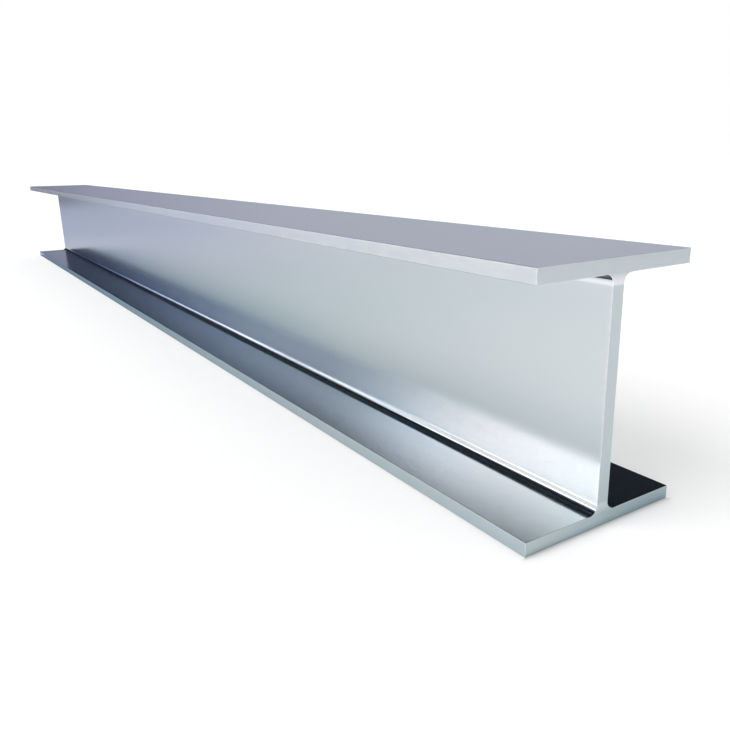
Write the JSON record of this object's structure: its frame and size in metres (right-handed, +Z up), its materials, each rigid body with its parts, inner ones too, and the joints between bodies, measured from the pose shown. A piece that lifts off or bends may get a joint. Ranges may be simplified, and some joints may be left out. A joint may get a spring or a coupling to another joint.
{
  "type": "steel h-beam",
  "caption": "Rolled steel beam of H section: two parallel flanges on a web, with root fillets and square sawn ends.",
  "frame": {"origin": "on the floor under the middle of the beam: the middle of the lower flange's underside", "axes": "+X along the beam, +Y across its flanges, +Z up its web"},
  "size_m": [2, 0.15, 0.194],
  "materials": {
    "steel": "bright smooth rolled steel with a cool blue cast and a faint grain along the beam, paler and duller on the sawn ends"
  },
  "bodies": {
    "root": {"h_beam": "steel"}
  },
  "joints": []
}
